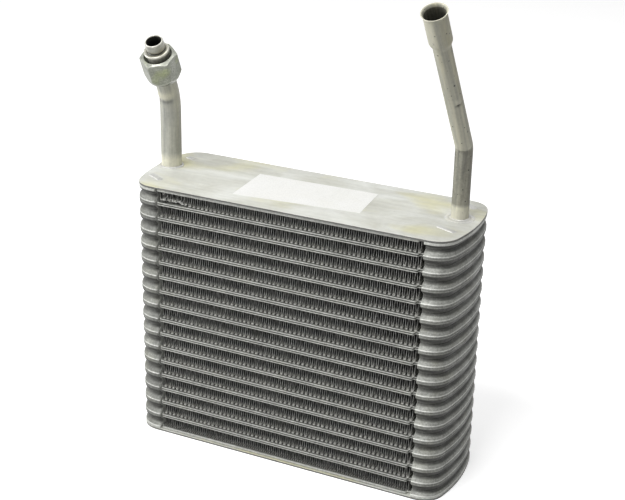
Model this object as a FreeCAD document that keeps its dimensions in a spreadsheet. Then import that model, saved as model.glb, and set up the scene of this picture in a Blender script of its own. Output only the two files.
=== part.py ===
import FreeCAD, Part
import math
import os

import Sketcher

# A plate-and-fin evaporator core. Drawn tube plates are stacked along Z, and each
# pair of them is one flat refrigerant tube with a hollow cup at either end. The cups
# meet halfway between two tubes and form the two tanks. Corrugated fins fill the
# spaces between the tubes. A flat plate closes the stack above and below, and the
# two pipes rise from the upper one. X runs along the core, Y from its front to its
# back, and the origin is the middle of the underside.

SHEET_VALUES = {
    # Core
    "core_length": 262.0,
    "core_depth": 87.0,
    "corner_radius": 17.0,
    "crown_radius": 130.0,
    "end_plate_thickness": 1.4,
    "tube_pitch": 12.0,
    # Tube
    "rim_thickness": 3.2,
    "tube_thickness": 2.4,
    "tank_width": 24.0,
    "cup_draft": 2.75,
    "neck_width": 3.4,
    "neck_setback": 4.0,
    "edge_setback": 1.2,
    # Fin
    "fin_setback": 3.0,
    "fin_end_gap": 2.0,
    "fin_crest_thickness": 0.6,
    # Pipe feet, each set in from its own end of the core
    "pipe_line": 6.0,
    "braze_gap": 0.1,
    # Liquid pipe
    "liquid_pipe_inset": 16.1,
    "liquid_pipe_diameter": 12.7,
    "liquid_pipe_wall": 1.1,
    "liquid_elbow_height": 53.3,
    "liquid_elbow_radius": 12.0,
    "liquid_lean": 29.2,
    "liquid_swing": -5.6,
    "liquid_reach": 121.0,
    "bell_bore": 14.9,
    "bell_wall": 0.7,
    "bell_length": 29.0,
    "bell_taper": 6.0,
    "lip_diameter": 18.5,
    "lip_length": 2.6,
    # Suction pipe
    "suction_pipe_inset": 9.5,
    "suction_pipe_diameter": 15.875,
    "suction_pipe_wall": 1.2,
    "suction_elbow_height": 54.8,
    "suction_elbow_radius": 45.0,
    "suction_lean": 27.8,
    "suction_swing": 5.0,
    "suction_reach": 55.4,
    "pilot_diameter": 14.0,
    "pilot_bore": 11.4,
    "pilot_length": 8.2,
    "collar_diameter": 19.3,
    "collar_length": 2.2,
    # Swivel nut
    "nut_across_flats": 25.0,
    "nut_length": 21.6,
    "nut_bore": 20.3,
    "nut_face_setback": 4.9,
    "nut_clearance": 0.3,
    "nut_front_diameter": 22.4,
    "nut_front_taper": 1.6,
    "nut_back_diameter": 23.4,
    "nut_back_taper": 4.8,
    "nut_back_wall": 6.0,
    "nut_turn": 19.5,
    # Cutting tools reach this far past the piece they cut
    "cut_margin": 1.0,
}
GAP_COUNT = 17
FIN_WAVES = 11
CORNER_CHORDS = 4
CROWN_CHORDS = 4
BEND_CHORDS = 3
NUT_FACETS = 24
GRAIN = 0.01

document = FreeCAD.newDocument("EvaporatorCore")
sheet = document.addObject("Spreadsheet::Sheet", "Sizes")
for row, (alias, number) in enumerate(SHEET_VALUES.items(), start=1):
    sheet.set("A%d" % row, alias)
    sheet.set("B%d" % row, str(number))
    sheet.setAlias("B%d" % row, alias)
document.recompute()


class Size:
    """A length or angle with its number and the sheet formula that it follows."""

    def __init__(self, formula, number):
        self.formula = formula
        self.number = number

    def __add__(self, other):
        other = as_size(other)
        return Size("(%s + %s)" % (self.formula, other.formula), self.number + other.number)

    def __sub__(self, other):
        other = as_size(other)
        return Size("(%s - %s)" % (self.formula, other.formula), self.number - other.number)

    def __mul__(self, other):
        other = as_size(other)
        return Size("(%s * %s)" % (self.formula, other.formula), self.number * other.number)

    def __truediv__(self, other):
        other = as_size(other)
        return Size("(%s / %s)" % (self.formula, other.formula), self.number / other.number)

    def __neg__(self):
        return self * -1


def as_size(value):
    """Return the value as a Size, a plain number as its own formula."""
    if isinstance(value, Size):
        return value
    return Size("(%r)" % value, value)


def size(alias):
    """Return the sheet's value of that name."""
    return Size("Sizes." + alias, sheet.get(alias))


def sine(angle):
    return Size("sin(%s)" % angle.formula, math.sin(math.radians(angle.number)))


def cosine(angle):
    return Size("cos(%s)" % angle.formula, math.cos(math.radians(angle.number)))


def tangent(angle):
    return Size("tan(%s)" % angle.formula, math.tan(math.radians(angle.number)))


def arcsine(ratio):
    return Size("asin(%s)" % ratio.formula, math.degrees(math.asin(ratio.number)))


def arctangent(ratio):
    return Size("atan(%s)" % ratio.formula, math.degrees(math.atan(ratio.number)))


def bind(item, path, value):
    """Tie one property of an object to a size."""
    item.setExpression(path, as_size(value).formula)


ZERO = Size("0", 0.0)
DEGREE = Size("1 deg", 1.0)
QUARTER = DEGREE * 90
half_length = size("core_length") / 2
half_depth = size("core_depth") / 2
half_pitch = size("tube_pitch") / 2
half_rim = size("rim_thickness") / 2
half_tube = size("tube_thickness") / 2
tank_wall = half_length - size("tank_width")
core_height = size("tube_pitch") * GAP_COUNT + size("end_plate_thickness") * 2

# The plates' outline: the corner arcs touch the long sides and the crowned ends
corner_y = half_depth - size("corner_radius")
crown_x = half_length - size("crown_radius")
crown_turn = arcsine(corner_y / (size("crown_radius") - size("corner_radius")))
corner_x = crown_x + (size("crown_radius") - size("corner_radius")) * cosine(crown_turn)


START = 1
END = 2
CENTRE = 3
ROOT = -1

bodies = []


def vector(x, y, z=0.0):
    return FreeCAD.Vector(x, y, z)


def new_body(name):
    """Start a body, one real piece whose label names its file."""
    body = document.addObject("PartDesign::Body", name)
    body.Label = name
    bodies.append(body)
    return body


def origin_plane(body, role):
    """Find the plane of a body's own origin that has this role."""
    return [item for item in body.Origin.OriginFeatures if item.Role == role][0]


def new_sketch(body, name, role):
    """Lay a sketch on the origin plane of its body that has this role."""
    sketch = body.newObject("Sketcher::SketchObject", body.Name + "_" + name)
    sketch.AttachmentSupport = (origin_plane(body, role), [""])
    sketch.MapMode = "FlatFace"
    return sketch


def constrain(sketch, kind, *where, value=None):
    """Add one constraint, tied to its size where it has one."""
    if value is None:
        sketch.addConstraint(Sketcher.Constraint(kind, *where))
        return
    value = as_size(value)
    index = sketch.addConstraint(Sketcher.Constraint(kind, *where, value.number))
    sketch.setExpression("Constraints[%d]" % index, value.formula)


def place_point(sketch, element, end, x, y):
    """Fix one point of a sketch at its distances from the sketch's own origin."""
    constrain(sketch, "DistanceX", ROOT, START, element, end, value=x)
    constrain(sketch, "DistanceY", ROOT, START, element, end, value=y)


def add_line(sketch, start, end):
    return sketch.addGeometry(Part.LineSegment(vector(*start), vector(*end)), False)


def add_circle(sketch, x, y, radius):
    circle = Part.Circle(vector(x.number, y.number), vector(0, 0, 1), radius.number)
    element = sketch.addGeometry(circle, False)
    place_point(sketch, element, CENTRE, x, y)
    constrain(sketch, "Radius", element, value=radius)


def add_polygon(sketch, corners):
    """Draw a closed straight-sided loop through corners given as pairs of sizes."""
    count = len(corners)
    lines = []
    for index, (x, y) in enumerate(corners):
        next_x, next_y = corners[(index + 1) % count]
        lines.append(add_line(sketch, (x.number, y.number), (next_x.number, next_y.number)))
    for index, (x, y) in enumerate(corners):
        constrain(sketch, "Coincident", lines[index - 1], END, lines[index], START)
        place_point(sketch, lines[index], START, x, y)


def add_path(sketch, corners):
    """Draw an open straight-sided line through corners given as pairs of sizes."""
    start = corners[0]
    before = None
    for x, y in corners[1:]:
        line = add_line(sketch, (start[0].number, start[1].number), (x.number, y.number))
        if before is None:
            place_point(sketch, line, START, *start)
        else:
            constrain(sketch, "Coincident", before, END, line, START)
        place_point(sketch, line, END, x, y)
        start = (x, y)
        before = line


def arc_points(centre_x, radius, centre_y, first, last, steps):
    """Give points at even steps round an arc, as pairs of sizes."""
    points = []
    for index in range(steps + 1):
        angle = first + (last - first) * index / steps
        points.append((centre_x + radius * cosine(angle), centre_y + radius * sine(angle)))
    return points


def end_outline(side):
    """Give the corners round one end of the core, seen from above, from back to front.

    Two round corners and the shallow crown between them are drawn with short chords,
    because this outline repeats on every plate.
    """
    upper = arc_points(corner_x, size("corner_radius"), corner_y, QUARTER, crown_turn, CORNER_CHORDS)
    crown = arc_points(crown_x, size("crown_radius"), ZERO, crown_turn, -crown_turn, CROWN_CHORDS)
    lower = [(x, -y) for x, y in reversed(upper)]
    return [(x * side, y) for x, y in upper + crown[1:-1] + lower]


def tank_outline(side):
    """Give the corners of one tank: the end of the core and the wall that faces the fins."""
    wall = tank_wall * side
    return [(wall, half_depth)] + end_outline(side) + [(wall, -half_depth)]


def add_tank_ends(body, name, height=None):
    """Sketch both tank ends of a plate, at a height above the body's own origin."""
    sketch = new_sketch(body, name, "XY_Plane")
    if height is not None:
        bind(sketch, "AttachmentOffset.Base.z", height)
    add_polygon(sketch, tank_outline(1))
    add_polygon(sketch, tank_outline(-1))
    return sketch


def outer_walls(shape):
    """Name the upright faces of the cups that slope inward, all but those facing the fins."""
    names = []
    for index, face in enumerate(shape.Faces, start=1):
        upright = abs(face.normalAt(0, 0).z) < 0.5
        if upright and abs(face.CenterOfMass.x) > tank_wall.number + GRAIN:
            names.append("Face%d" % index)
    return names


def make_tube(name, level, sides):
    """Make one tube of two drawn plates, or the single drawn plate that ends the stack.

    sides is "both" for a tube, "up" for the lowest plate and "down" for the highest.
    """
    body = new_body(name)
    bind(body, "Placement.Base.z", level)
    reversed_side = sides == "down"

    cups = add_tank_ends(body, "cups", -half_rim if reversed_side else half_rim)
    cup_pad = body.newObject("PartDesign::Pad", name + "_cup_pad")
    cup_pad.Profile = cups
    cup_pad.Reversed = reversed_side
    bind(cup_pad, "Length", half_pitch - half_rim)
    document.recompute()
    draft = body.newObject("PartDesign::Draft", name + "_cup_draft")
    draft.Base = (cup_pad, outer_walls(cup_pad.Shape))
    draft.NeutralPlane = (cups, [""])
    draft.Reversed = reversed_side
    bind(draft, "Angle", arctangent(size("cup_draft") / (half_pitch - half_rim)))
    document.recompute()
    if sides == "both":
        mirror = body.newObject("PartDesign::Mirrored", name + "_lower_cups")
        mirror.TransformMode = "Whole shape"
        mirror.MirrorPlane = (origin_plane(body, "XY_Plane"), [""])
        body.Tip = mirror
        document.recompute()

    rim_pad = body.newObject("PartDesign::Pad", name + "_rim_pad")
    rim_pad.Profile = add_tank_ends(body, "rim")

    flat = new_sketch(body, "flat", "XY_Plane")
    fin_x = tank_wall - size("neck_width")
    fin_y = half_depth - size("edge_setback")
    neck_y = half_depth - size("neck_setback")
    root_x = tank_wall + size("rim_thickness")
    quadrant = [(fin_x, fin_y), (fin_x, neck_y), (root_x, neck_y)]
    corners = quadrant + [(x, -y) for x, y in reversed(quadrant)]
    add_polygon(flat, corners + [(-x, y) for x, y in reversed(corners)])
    flat_pad = body.newObject("PartDesign::Pad", name + "_flat_pad")
    flat_pad.Profile = flat

    for pad, half in ((rim_pad, half_rim), (flat_pad, half_tube)):
        if sides == "both":
            pad.SideType = "Symmetric"
        pad.Reversed = reversed_side
        bind(pad, "Length", half * 2 if sides == "both" else half)


def make_fin_row(name, level):
    """Make one corrugated fin, folded to and fro between two tubes."""
    body = new_body(name)
    bind(body, "Placement.Base.z", level)
    height = half_pitch - half_tube
    crest = size("fin_crest_thickness")
    end_x = tank_wall - size("fin_end_gap")
    wave = end_x * 2 / FIN_WAVES
    middle_x = wave / 2 - end_x

    fold = new_sketch(body, "fold", "XZ_Plane")
    add_polygon(fold, [
        (-end_x, -height),
        (middle_x, height - crest),
        (wave - end_x, -height),
        (wave - end_x, crest - height),
        (middle_x, height),
        (-end_x, crest - height),
    ])
    pad = body.newObject("PartDesign::Pad", name + "_pad")
    pad.Profile = fold
    pad.SideType = "Symmetric"
    bind(pad, "Length", (half_depth - size("edge_setback") - size("fin_setback")) * 2)
    document.recompute()

    pattern = body.newObject("PartDesign::LinearPattern", name + "_waves")
    pattern.Originals = [pad]
    pattern.Direction = (fold, ["H_Axis"])
    pattern.Mode = "Spacing"
    pattern.Occurrences = FIN_WAVES
    bind(pattern, "Offset", wave)
    body.Tip = pattern


def make_end_plate(name, level, pipes):
    """Make a flat end plate with a hole for each pipe that passes through it."""
    body = new_body(name)
    bind(body, "Placement.Base.z", level)
    sketch = new_sketch(body, "outline", "XY_Plane")
    add_polygon(sketch, end_outline(1) + end_outline(-1)[::-1])
    for place, diameter in pipes:
        add_circle(sketch, place, size("pipe_line"), diameter / 2 + size("braze_gap"))
    pad = body.newObject("PartDesign::Pad", name + "_pad")
    pad.Profile = sketch
    bind(pad, "Length", size("end_plate_thickness"))


class Pipe:
    """One pipe's line: upright from the plate, one bend, then straight and leaning forward."""

    def __init__(self, name, place):
        self.name = name
        self.place = place
        self.outer = size(name + "_pipe_diameter") / 2
        self.inner = self.outer - size(name + "_pipe_wall")
        self.elbow = size("end_plate_thickness") + size(name + "_elbow_height")
        self.bend = size(name + "_elbow_radius")
        self.lean = size(name + "_lean")
        self.reach = size(name + "_reach")

    def new_body(self, label):
        """Start a body that stands on the pipe's foot and is turned by its swing."""
        body = new_body(label)
        bind(body, "Placement.Base.x", self.place)
        bind(body, "Placement.Base.y", size("pipe_line"))
        bind(body, "Placement.Base.z", core_height - size("end_plate_thickness"))
        bind(body, "Placement.Rotation.Angle", size(self.name + "_swing"))
        return body

    def add_tube(self, body, end):
        """Sweep the round rod of the pipe along its line, up to this distance past the elbow."""
        line = new_sketch(body, "line", "YZ_Plane")
        tangent_length = self.bend * tangent(self.lean / 2)
        turn = DEGREE * self.lean
        bow = arc_points(-self.bend, self.bend, self.elbow - tangent_length, DEGREE * 0, turn, BEND_CHORDS)
        tip = (-end * sine(self.lean), self.elbow + end * cosine(self.lean))
        add_path(line, [(ZERO, ZERO)] + bow + [tip])

        disc = new_sketch(body, "disc", "XY_Plane")
        add_circle(disc, ZERO, ZERO, self.outer)
        sweep = body.newObject("PartDesign::AdditivePipe", body.Name + "_tube")
        sweep.Profile = disc
        sweep.Spine = line
        sweep.Transition = "Right corner"

    def new_axial_sketch(self, body, name):
        """Start a sketch of radius against distance past the elbow, along the leaning length."""
        sketch = new_sketch(body, name, "YZ_Plane")
        bind(sketch, "AttachmentOffset.Base.y", self.elbow)
        bind(sketch, "AttachmentOffset.Rotation.Angle", self.lean)
        return sketch

    def new_cross_sketch(self, body, name, distance):
        """Start a sketch square to the leaning length, at this distance past the elbow."""
        sketch = new_sketch(body, name, "XY_Plane")
        sketch.AttachmentOffset = FreeCAD.Placement(vector(0, 0), FreeCAD.Rotation(vector(1, 0), 1))
        bind(sketch, "AttachmentOffset.Rotation.Angle", self.lean)
        bind(sketch, "AttachmentOffset.Base.y", -distance * sine(self.lean))
        bind(sketch, "AttachmentOffset.Base.z", self.elbow + distance * cosine(self.lean))
        return sketch

    def add_turned(self, body, name, kind, corners):
        """Turn a profile about the leaning length of the pipe."""
        profile = self.new_axial_sketch(body, name)
        add_polygon(profile, corners)
        turned = body.newObject("PartDesign::" + kind, body.Name + "_" + name + "_turned")
        turned.Profile = profile
        turned.ReferenceAxis = (profile, ["V_Axis"])


def make_liquid_pipe(pipe):
    """Make the thin pipe, which widens into a bell with a flared lip."""
    body = pipe.new_body("liquid_pipe")
    bell_start = pipe.reach - size("bell_length")
    bell_full = bell_start + size("bell_taper")
    lip_start = pipe.reach - size("lip_length")
    bore = size("bell_bore") / 2
    outer = bore + size("bell_wall")
    lip = size("lip_diameter") / 2
    pipe.add_tube(body, bell_start)
    pipe.add_turned(body, "bell", "Revolution", [
        (ZERO, bell_start),
        (pipe.outer, bell_start),
        (outer, bell_full),
        (outer, lip_start),
        (lip, pipe.reach),
        (bore, pipe.reach),
        (bore, bell_full),
        (pipe.inner, bell_full),
        (pipe.inner, bell_start + size("bell_wall")),
        (ZERO, bell_start + size("bell_wall")),
    ])


def make_suction_pipe(pipe):
    """Make the wide pipe, which ends in a collar and a thinner pilot."""
    body = pipe.new_body("suction_pipe")
    pilot_start = pipe.reach - size("pilot_length")
    collar_start = pilot_start - size("collar_length")
    collar = size("collar_diameter") / 2
    pilot = size("pilot_diameter") / 2
    bore = size("pilot_bore") / 2
    pipe.add_tube(body, collar_start)
    pipe.add_turned(body, "collar", "Revolution", [
        (ZERO, collar_start),
        (collar, collar_start),
        (collar, pilot_start),
        (pilot, pilot_start),
        (pilot, pipe.reach),
        (bore, pipe.reach),
        (bore, pilot_start),
        (ZERO, pilot_start),
    ])


def make_nut(pipe):
    """Make the swivel nut, which hangs loose on the suction pipe behind its collar."""
    body = pipe.new_body("swivel_nut")
    front = pipe.reach - size("pilot_length") - size("nut_face_setback")
    back = front - size("nut_length")
    corner = size("nut_across_flats") / 2 / cosine(DEGREE * 30)
    outside = corner + size("cut_margin")

    first = DEGREE * size("nut_turn")
    turn = QUARTER * 4
    hexagon = pipe.new_cross_sketch(body, "hexagon", back)
    add_polygon(hexagon, arc_points(ZERO, corner, ZERO, first, first + turn, 6)[:-1])
    pad = body.newObject("PartDesign::Pad", "swivel_nut_pad")
    pad.Profile = hexagon
    bind(pad, "Length", size("nut_length"))

    beyond = size("cut_margin")
    wedges = []
    for name, face, radius, depth in (
        ("front", front, size("nut_front_diameter") / 2, -size("nut_front_taper")),
        ("back", back, size("nut_back_diameter") / 2, size("nut_back_taper")),
    ):
        slope = depth / (corner - radius)
        profile = pipe.new_axial_sketch(body, name + "_taper")
        add_polygon(profile, [
            (radius - beyond, face - slope * beyond),
            (outside, face - slope * beyond),
            (outside, face + slope * (outside - radius)),
        ])
        wedge = body.newObject("PartDesign::Pocket", "swivel_nut_%s_wedge" % name)
        wedge.Profile = profile
        wedge.SideType = "Symmetric"
        bind(wedge, "Length", outside * 2)
        wedges.append(wedge)
    document.recompute()
    ring = body.newObject("PartDesign::PolarPattern", "swivel_nut_tapers")
    ring.Originals = wedges
    ring.Axis = (profile, ["V_Axis"])
    ring.Occurrences = NUT_FACETS
    body.Tip = ring
    document.recompute()

    shoulder = size("nut_back_wall")
    for name, radius, start in (
        ("hole", pipe.outer + size("nut_clearance"), ZERO),
        ("bore", size("nut_bore") / 2, shoulder),
    ):
        mouth = pipe.new_cross_sketch(body, name, back + start)
        add_polygon(mouth, arc_points(ZERO, radius, ZERO, first, first + turn, NUT_FACETS)[:-1])
        pocket = body.newObject("PartDesign::Pocket", "swivel_nut_" + name)
        pocket.Profile = mouth
        pocket.Reversed = True
        bind(pocket, "Length", size("nut_length") - start + beyond)
    body.Tip = pocket


def check(body):
    """Stop if any feature of a body failed or its shape is not one valid solid."""
    for item in body.OutListRecursive + [body]:
        if "Invalid" in item.State or "Error" in item.State:
            raise RuntimeError("%s did not build: %s" % (item.Label, item.State))
    shape = body.Shape
    if shape.isNull() or not shape.isValid() or len(shape.Solids) != 1:
        raise RuntimeError("%s is not one valid solid" % body.Label)


joint_level = size("end_plate_thickness")
for number in range(1, GAP_COUNT + 1):
    row_level = joint_level + size("tube_pitch") * (GAP_COUNT - number)
    make_fin_row("fin_row_%02d" % number, row_level + half_pitch)
    if number < GAP_COUNT:
        make_tube("tube_%02d" % number, row_level, "both")
make_tube("upper_drawn_plate", core_height - joint_level, "down")
make_tube("lower_drawn_plate", joint_level, "up")

liquid = Pipe("liquid", half_length - size("liquid_pipe_inset"))
suction = Pipe("suction", size("suction_pipe_inset") - half_length)
pipe_holes = [(liquid.place, liquid.outer * 2), (suction.place, suction.outer * 2)]
make_end_plate("top_end_plate", core_height - joint_level, pipe_holes)
make_end_plate("bottom_end_plate", ZERO, [])
make_liquid_pipe(liquid)
make_suction_pipe(suction)
make_nut(suction)

document.recompute()
for body in bodies:
    check(body)
os.makedirs("parts", exist_ok=True)
for body in bodies:
    body.Shape.exportStep(os.path.join("parts", body.Label + ".step"))
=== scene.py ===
import math
from functools import partial

import bmesh
import bpy
from mathutils import Matrix, Vector


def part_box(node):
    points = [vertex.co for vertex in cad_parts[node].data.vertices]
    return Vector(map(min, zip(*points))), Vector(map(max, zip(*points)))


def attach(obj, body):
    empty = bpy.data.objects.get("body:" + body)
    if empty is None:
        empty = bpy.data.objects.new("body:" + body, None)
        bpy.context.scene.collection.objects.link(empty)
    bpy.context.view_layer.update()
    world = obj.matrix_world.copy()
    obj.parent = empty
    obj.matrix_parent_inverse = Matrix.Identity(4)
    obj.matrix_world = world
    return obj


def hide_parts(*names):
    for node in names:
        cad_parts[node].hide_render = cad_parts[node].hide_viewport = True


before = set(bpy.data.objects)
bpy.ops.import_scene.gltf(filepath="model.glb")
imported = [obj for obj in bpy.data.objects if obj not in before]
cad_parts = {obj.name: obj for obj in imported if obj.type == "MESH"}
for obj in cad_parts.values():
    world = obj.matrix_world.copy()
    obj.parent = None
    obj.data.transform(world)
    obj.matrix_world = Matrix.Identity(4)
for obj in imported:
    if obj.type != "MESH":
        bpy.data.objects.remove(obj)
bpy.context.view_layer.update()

MM = 0.001
QUARTER = math.pi / 2
RING_POINTS = 64

# Sizes of the core, the same as the solids', but for the lips' ends, which follow the real core
HALF_LENGTH = 131.0 * MM
HALF_DEPTH = 43.5 * MM
CORNER_RADIUS = 17.0 * MM
CROWN_RADIUS = 130.0 * MM
PLATE_THICKNESS = 1.4 * MM
HALF_PITCH = 6.0 * MM
HALF_TUBE = 1.2 * MM
FIN_ROWS = 17
TANK_WALL = 107.0 * MM
FIN_END = 105.0 * MM
FIN_Y = 39.3 * MM
NECK_Y = 39.5 * MM
LIP_Y = 42.3 * MM
LEFT_LIP_END = 106.2 * MM
RIGHT_LIP_END = 103.3 * MM
PIPE_LINE = 6.0 * MM
LIQUID_RADIUS = 6.35 * MM
SUCTION_RADIUS = 7.9375 * MM

CORE_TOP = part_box("top_end_plate")[1].z
CORNER_Y = HALF_DEPTH - CORNER_RADIUS
CROWN_X = HALF_LENGTH - CROWN_RADIUS
CROWN_TURN = math.asin(CORNER_Y / (CROWN_RADIUS - CORNER_RADIUS))
CORNER_X = CROWN_X + (CROWN_RADIUS - CORNER_RADIUS) * math.cos(CROWN_TURN)


# Mesh helpers

def arc(centre_x, centre_y, radius, first, last, steps):
    """Points round an arc, angles in radians."""
    angles = [first + (last - first) * index / steps for index in range(steps + 1)]
    return [(centre_x + radius * math.cos(angle), centre_y + radius * math.sin(angle)) for angle in angles]


def circle(centre_x, centre_y, radius, count=RING_POINTS):
    """Points all the way round a circle."""
    return arc(centre_x, centre_y, radius, 0.0, math.tau, count)[:-1]


def between(first, last, share):
    """The value at this share of the way from the first to the last."""
    return first + (last - first) * share


def ease(share):
    """A share from 0 to 1, with a soft start and a soft end."""
    share = min(1.0, max(0.0, share))
    return (3 - 2 * share) * share * share


def skin(loops, bare=None, ring=False):
    """Join loops of points side by side; a ring joins the last to the first, others get caps.

    The shares give each loop, or each of its points, an amount of painted light and wear: 0 is
    painted shade in corners and recesses, and 1 is painted highlight and wear on edges.
    """
    count = len(loops[0])
    points = [point for loop in loops for point in loop]
    shares = []
    for share in bare or [0.5] * len(loops):
        shares += share if isinstance(share, list) else [share] * count
    faces = []
    rows = len(loops)
    for row in range(rows if ring else rows - 1):
        low = row * count
        high = (row + 1) % rows * count
        for index in range(count):
            after = (index + 1) % count
            faces.append((low + index, low + after, high + after, high + index))
    if not ring:
        faces.append(tuple(range(count))[::-1])
        faces.append(tuple(range(len(points) - count, len(points))))
    return points, faces, shares


def close_seams(mesh, distance=2e-6):
    """Join the points that meet and turn all faces outward."""
    work = bmesh.new()
    work.from_mesh(mesh)
    bmesh.ops.remove_doubles(work, verts=work.verts, dist=distance)
    bmesh.ops.recalc_face_normals(work, faces=work.faces)
    work.to_mesh(mesh)
    work.free()


def smooth(mesh, sharp):
    """Shade a mesh smooth, but for edges sharper than this angle in degrees."""
    mesh.shade_smooth()
    mesh.set_sharp_from_angle(angle=math.radians(sharp))


def make_mesh(name, parts, sharp=40.0, unbent=None):
    """Make one mesh from closed shells, with its faces outward and its sharp edges marked.

    unbent gives each point's place on a pipe as if its line were straight.
    """
    mesh = bpy.data.meshes.new(name)
    points = []
    faces = []
    shares = []
    for shell_points, shell_faces, shell_shares in parts:
        base = len(points)
        points += shell_points
        shares += shell_shares
        faces += [tuple(base + index for index in face) for face in shell_faces]
    mesh.from_pydata([tuple(point) for point in points], [], faces)
    # The share of painted light and wear goes on the mesh as a point attribute
    mesh.attributes.new("bare", "FLOAT", "POINT").data.foreach_set("value", shares)
    if unbent:
        flat = [value for place in unbent for value in place]
        mesh.attributes.new("unbent", "FLOAT_VECTOR", "POINT").data.foreach_set("vector", flat)
    close_seams(mesh, 1e-7)
    smooth(mesh, sharp)
    return mesh


def add_object(name, data):
    """Put an object with this data in the scene."""
    item = bpy.data.objects.new(name, data)
    bpy.context.scene.collection.objects.link(item)
    return item


def add_piece(name, mesh, materials, node=None, body="core"):
    """Put a mesh in the scene as a piece that rides on a body and stands for a solid."""
    piece = add_object(name, mesh)
    for material in materials:
        if material.name not in mesh.materials:
            mesh.materials.append(material)
    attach(piece, body)
    if node:
        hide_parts(node)


# Node helpers

FLOAT = "NodeSocketFloat"
COLOUR = "NodeSocketColor"
VECTOR = "NodeSocketVector"


def colour(red, green, blue):
    return (red, green, blue, 1.0)


def add_node(tree, kind, inputs=None, **settings):
    """Add a node, set its properties, and set or link its inputs."""
    node = tree.nodes.new(kind)
    for key, value in settings.items():
        setattr(node, key, value)
    for key, value in (inputs or {}).items():
        socket = node.inputs[key]
        if isinstance(value, bpy.types.NodeSocket):
            tree.links.new(value, socket)
        else:
            socket.default_value = value
    return node


def add_math(tree, operation, first, second=0.0, third=None, clamp=False):
    inputs = {0: first, 1: second}
    if third is not None:
        inputs[2] = third
    return add_node(tree, "ShaderNodeMath", inputs, operation=operation, use_clamp=clamp).outputs[0]


def add_mix(tree, factor, first, second):
    """Mix two colours by a factor."""
    inputs = {0: factor, 6: first, 7: second}
    return add_node(tree, "ShaderNodeMix", inputs, data_type="RGBA").outputs[2]


def add_vector(tree, operation, first, second):
    """Combine two vectors, or scale a vector by a number."""
    inputs = {0: first, 3 if operation == "SCALE" else 1: second}
    return add_node(tree, "ShaderNodeVectorMath", inputs, operation=operation).outputs[0]


def add_range(tree, value, low, high, to_low=0.0, to_high=1.0):
    """Map a value from one range to another, and hold it there."""
    inputs = {"Value": value, "From Min": low, "From Max": high, "To Min": to_low, "To Max": to_high}
    return add_node(tree, "ShaderNodeMapRange", inputs).outputs[0]


def add_noise(tree, place, scale, detail, **values):
    """Add a noise pattern and return its outputs."""
    inputs = {"Vector": place, "Scale": scale, "Detail": detail, **values}
    return add_node(tree, "ShaderNodeTexNoise", inputs).outputs


def new_group(name, inputs, outputs, kind="ShaderNodeTree"):
    """Start a node group with named sockets, and a value for the inputs that have one."""
    group = bpy.data.node_groups.new(name, kind)
    for socket, given in inputs.items():
        socket_kind, value = given if isinstance(given, tuple) else (given, None)
        item = group.interface.new_socket(socket, in_out="INPUT", socket_type=socket_kind)
        if value is not None:
            item.default_value = value
    for socket, socket_kind in outputs.items():
        group.interface.new_socket(socket, in_out="OUTPUT", socket_type=socket_kind)
    start = group.nodes.new("NodeGroupInput")
    end = group.nodes.new("NodeGroupOutput")
    return group, start.outputs, end.inputs


def make_cloud_group():
    """Cloudy patches of two colours with stains of a third, as on mill-finish sheet."""
    group, given, result = new_group(
        "Cloudy sheet",
        {
            "Vector": VECTOR, "Scale": FLOAT, "Light": COLOUR, "Dark": COLOUR, "Stain": COLOUR,
            "Stain amount": FLOAT,
        },
        {"Colour": COLOUR, "Mask": FLOAT},
    )
    cloud = add_noise(group, given["Vector"], given["Scale"], 5.0, Roughness=0.6, Distortion=0.6)
    mask = add_range(group, cloud[0], 0.36, 0.66)
    base = add_mix(group, mask, given["Dark"], given["Light"])
    shifted = add_vector(group, "ADD", given["Vector"], (3.1, 1.7, 2.3))
    patch = add_noise(group, shifted, given["Scale"], 3.0, Roughness=0.5, Distortion=0.3)
    stain = add_range(group, patch[0], 0.52, 0.72)
    amount = add_math(group, "MULTIPLY", stain, given["Stain amount"])
    group.links.new(add_mix(group, amount, base, given["Stain"]), result["Colour"])
    group.links.new(mask, result["Mask"])
    return group


def make_grain_group():
    """Fine lines along one direction with a little even grain, as a height."""
    group, given, result = new_group(
        "Drawn grain",
        {"Vector": VECTOR, "Stretch": VECTOR, "Scale": FLOAT, "Even share": FLOAT},
        {"Height": FLOAT},
    )
    drawn = add_vector(group, "MULTIPLY", given["Vector"], given["Stretch"])
    lines = add_noise(group, drawn, given["Scale"], 3.0, Roughness=0.6)
    even = add_noise(group, given["Vector"], given["Scale"], 4.0, Roughness=0.65)
    inputs = {0: given["Even share"], 2: lines[0], 3: even[0]}
    mixed = add_node(group, "ShaderNodeMix", inputs, data_type="FLOAT")
    group.links.new(mixed.outputs[0], result["Height"])
    return group


def make_speck_group():
    """Small scattered pits and specks, as a mask."""
    group, given, result = new_group(
        "Fine specks",
        {"Vector": VECTOR, "Scale": FLOAT, "Share": FLOAT},
        {"Mask": FLOAT},
    )
    inputs = {"Vector": given["Vector"], "Scale": given["Scale"]}
    cells = add_node(group, "ShaderNodeTexVoronoi", inputs, feature="F1")
    coarse = add_math(group, "MULTIPLY", given["Scale"], 0.3)
    crowding = add_noise(group, given["Vector"], coarse, 2.0)
    reach = add_math(group, "MULTIPLY", given["Share"], crowding[0])
    near = add_math(group, "SUBTRACT", reach, cells.outputs["Distance"])
    group.links.new(add_range(group, near, 0.0, 0.08), result["Mask"])
    return group


cloud_group = make_cloud_group()
grain_group = make_grain_group()
speck_group = make_speck_group()


def new_material(name, **values):
    """Start a material with plain values on its Principled shader's own sockets."""
    material = bpy.data.materials.new(name)
    material.use_nodes = True
    shader = material.node_tree.nodes["Principled BSDF"]
    for key, value in values.items():
        shader.inputs[key.replace("_", " ")].default_value = value
    return material, material.node_tree, shader


def add_group(tree, group, **inputs):
    named = {key.replace("_", " "): value for key, value in inputs.items()}
    return add_node(tree, "ShaderNodeGroup", named, node_tree=group)
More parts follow.
